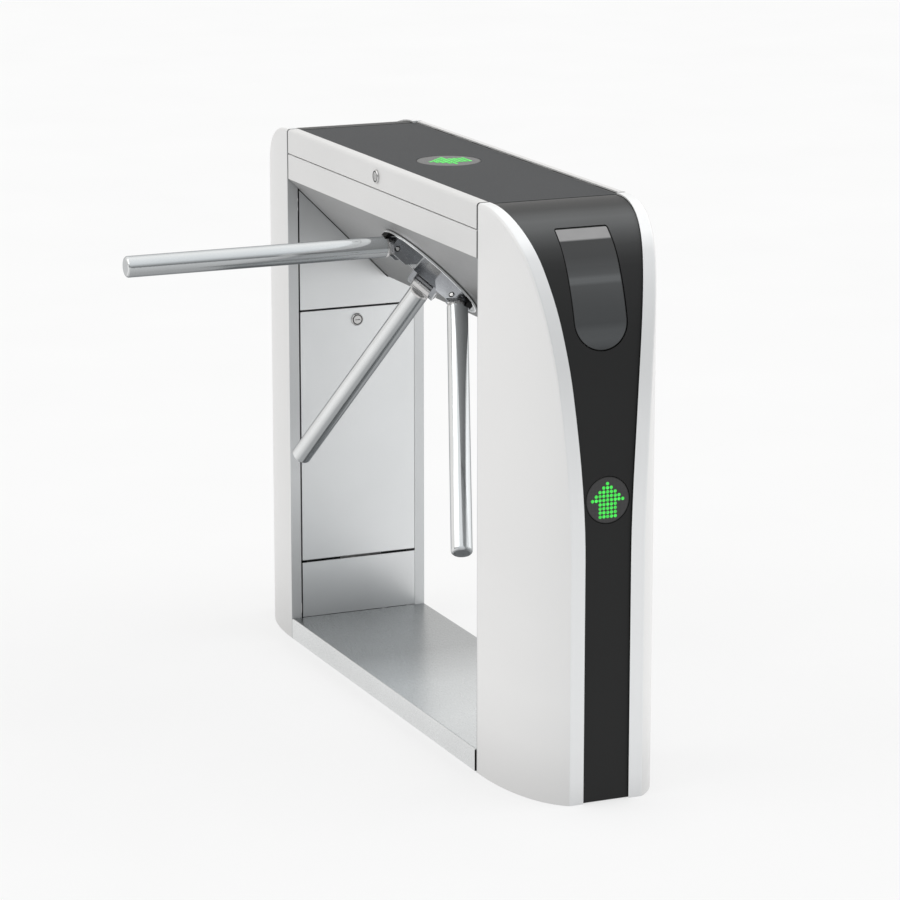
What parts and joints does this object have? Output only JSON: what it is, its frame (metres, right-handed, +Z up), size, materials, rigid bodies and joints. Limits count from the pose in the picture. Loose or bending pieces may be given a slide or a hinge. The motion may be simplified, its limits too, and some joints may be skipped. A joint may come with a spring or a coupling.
{
  "type": "tripod turnstile",
  "caption": "Box-type tripod turnstile: two curved pedestals joined by a beam with a slanted rotating hub carrying drop arms, hinged lid, service doors and anchored feet.",
  "frame": {"origin": "on the floor, at the centre of the four anchor holes, under the middle of the body", "axes": "+X along the body towards the near pedestal, -Y towards the arms, +Z up"},
  "size_m": [1.3428, 0.754, 1.002],
  "materials": {
    "silver_shell": "satin silver-white powder coat",
    "brushed_panel": "satin brushed stainless sheet",
    "dark_band": "dark grey moulded panel, fine texture",
    "dark_window": "smoked glossy acrylic",
    "dark_lens": "smoked lens",
    "arm_steel": "polished stainless tube",
    "forged_steel": "machined steel",
    "hub_steel": "satin steel",
    "black_block": "black moulded stop",
    "lock_chrome": "chromed lock",
    "grey_frame": "grey primed steel",
    "machine_steel": "machined steel",
    "motor_black": "black coated case",
    "circuit_board": "green circuit board",
    "lamp_green": "lit green lamps on their board",
    "supply_case": "folded aluminium case"
  },
  "bodies": {
    "frame": {"column_frame_near": "grey_frame", "column_frame_far": "grey_frame", "base_bridge": "brushed_panel", "cheek_near_back": "silver_shell", "cheek_near_front": "silver_shell", "cheek_far_back": "silver_shell", "cheek_far_front": "silver_shell", "end_band_near": "dark_band", "end_band_far": "dark_band", "reader_windows": "dark_window", "end_indicator_lenses": "dark_lens", "indicator_boards": "lamp_green", "card_readers": "motor_black", "inner_panels_lower": "brushed_panel", "inner_panels_upper": "brushed_panel", "beam_shell": "silver_shell", "lid_hinge_fixed_leaf": "machine_steel", "lid_hinge_pin": "machine_steel", "bearing_housing": "machine_steel", "housing_bolts": "machine_steel", "bearing_outer_rings": "machine_steel", "motor_bracket": "grey_frame", "gear_motor": "motor_black", "lock_solenoid": "motor_black", "control_board": "circuit_board", "power_supply": "supply_case"},
    "hub": {"rotor_shaft": "machine_steel", "bearing_inner_rings": "machine_steel", "bearing_balls": "machine_steel", "hub_disc": "hub_steel", "hub_screws": "hub_steel", "arm_brackets": "forged_steel", "arm_stop_blocks": "black_block", "arm_pivot_pins": "hub_steel", "drive_gear": "machine_steel", "lock_disc": "machine_steel"},
    "arm_1": {"arm_knuckle_1": "forged_steel", "arm_tube_1": "arm_steel", "arm_cap_1": "arm_steel"},
    "arm_2": {"arm_knuckle_2": "forged_steel", "arm_tube_2": "arm_steel", "arm_cap_2": "arm_steel"},
    "arm_3": {"arm_knuckle_3": "forged_steel", "arm_tube_3": "arm_steel", "arm_cap_3": "arm_steel"},
    "pinion": {"motor_pinion": "machine_steel"},
    "bolt": {"lock_bolt": "machine_steel"},
    "lid": {"lid_shell": "silver_shell", "lid_top_panel": "dark_band", "lid_indicator_lens": "dark_lens", "lid_indicator_board": "lamp_green", "lid_hinge_moving_leaf": "machine_steel", "lid_lock_body": "lock_chrome"},
    "lid_key": {"lid_lock_plug": "lock_chrome"},
    "door_near": {"service_door_near": "brushed_panel", "door_lock_body_near": "lock_chrome"},
    "door_near_key": {"door_lock_plug_near": "lock_chrome"},
    "door_far": {"service_door_far": "brushed_panel", "door_lock_body_far": "lock_chrome"},
    "door_far_key": {"door_lock_plug_far": "lock_chrome"}
  },
  "joints": [
    {"name": "hub_turn", "type": "hinge", "parent": "frame", "child": "hub", "pos_m": [0, -0.034, 0.802], "axis": [0, -0.7071, -0.7071], "continuous": true},
    {"name": "arm_1_drop", "type": "hinge", "parent": "hub", "child": "arm_1", "pos_m": [0, -0.11199, 0.851], "axis": [1, 0, 0], "range_deg": [0, 90]},
    {"name": "arm_2_drop", "type": "hinge", "parent": "hub", "child": "arm_2", "pos_m": [-0.07777, -0.01675, 0.75575], "axis": [-0.5, -0.6124, 0.6124], "range_deg": [0, 45]},
    {"name": "arm_3_drop", "type": "hinge", "parent": "hub", "child": "arm_3", "pos_m": [0.07777, -0.01675, 0.75575], "axis": [-0.5, 0.6124, -0.6124], "range_deg": [0, 45]},
    {"name": "pinion_turn", "type": "hinge", "parent": "frame", "child": "pinion", "pos_m": [0.064, 0.0452, 0.8812], "axis": [0, -0.7071, -0.7071], "continuous": true},
    {"name": "lock_bolt_slide", "type": "slide", "parent": "frame", "child": "bolt", "axis": [0, 0.7071, 0.7071], "range_m": [0, 0.008]},
    {"name": "lid_lift", "type": "hinge", "parent": "frame", "child": "lid", "pos_m": [0, 0.1216, 0.9966], "axis": [-1, 0, 0], "range_deg": [0, 75]},
    {"name": "lid_key_turn", "type": "hinge", "parent": "lid", "child": "lid_key", "pos_m": [0, -0.14, 0.9795], "axis": [0, -1, 0], "range_deg": [0, 90]},
    {"name": "door_near_tilt", "type": "hinge", "parent": "frame", "child": "door_near", "pos_m": [0.4465, 0, 0.1555], "axis": [0, -1, 0], "range_deg": [0, 12]},
    {"name": "door_near_key_turn", "type": "hinge", "parent": "door_near", "child": "door_near_key", "pos_m": [0.445, 0, 0.624], "axis": [1, 0, 0], "range_deg": [0, 90]},
    {"name": "door_far_tilt", "type": "hinge", "parent": "frame", "child": "door_far", "pos_m": [-0.4465, 0, 0.1555], "axis": [0, 1, 0], "range_deg": [0, 12]},
    {"name": "door_far_key_turn", "type": "hinge", "parent": "door_far", "child": "door_far_key", "pos_m": [-0.445, 0, 0.624], "axis": [1, 0, 0], "range_deg": [0, 90]}
  ],
  "couplings": [
    {"joint": "pinion_turn", "follows": "hub_turn", "ratio": -3}
  ]
}
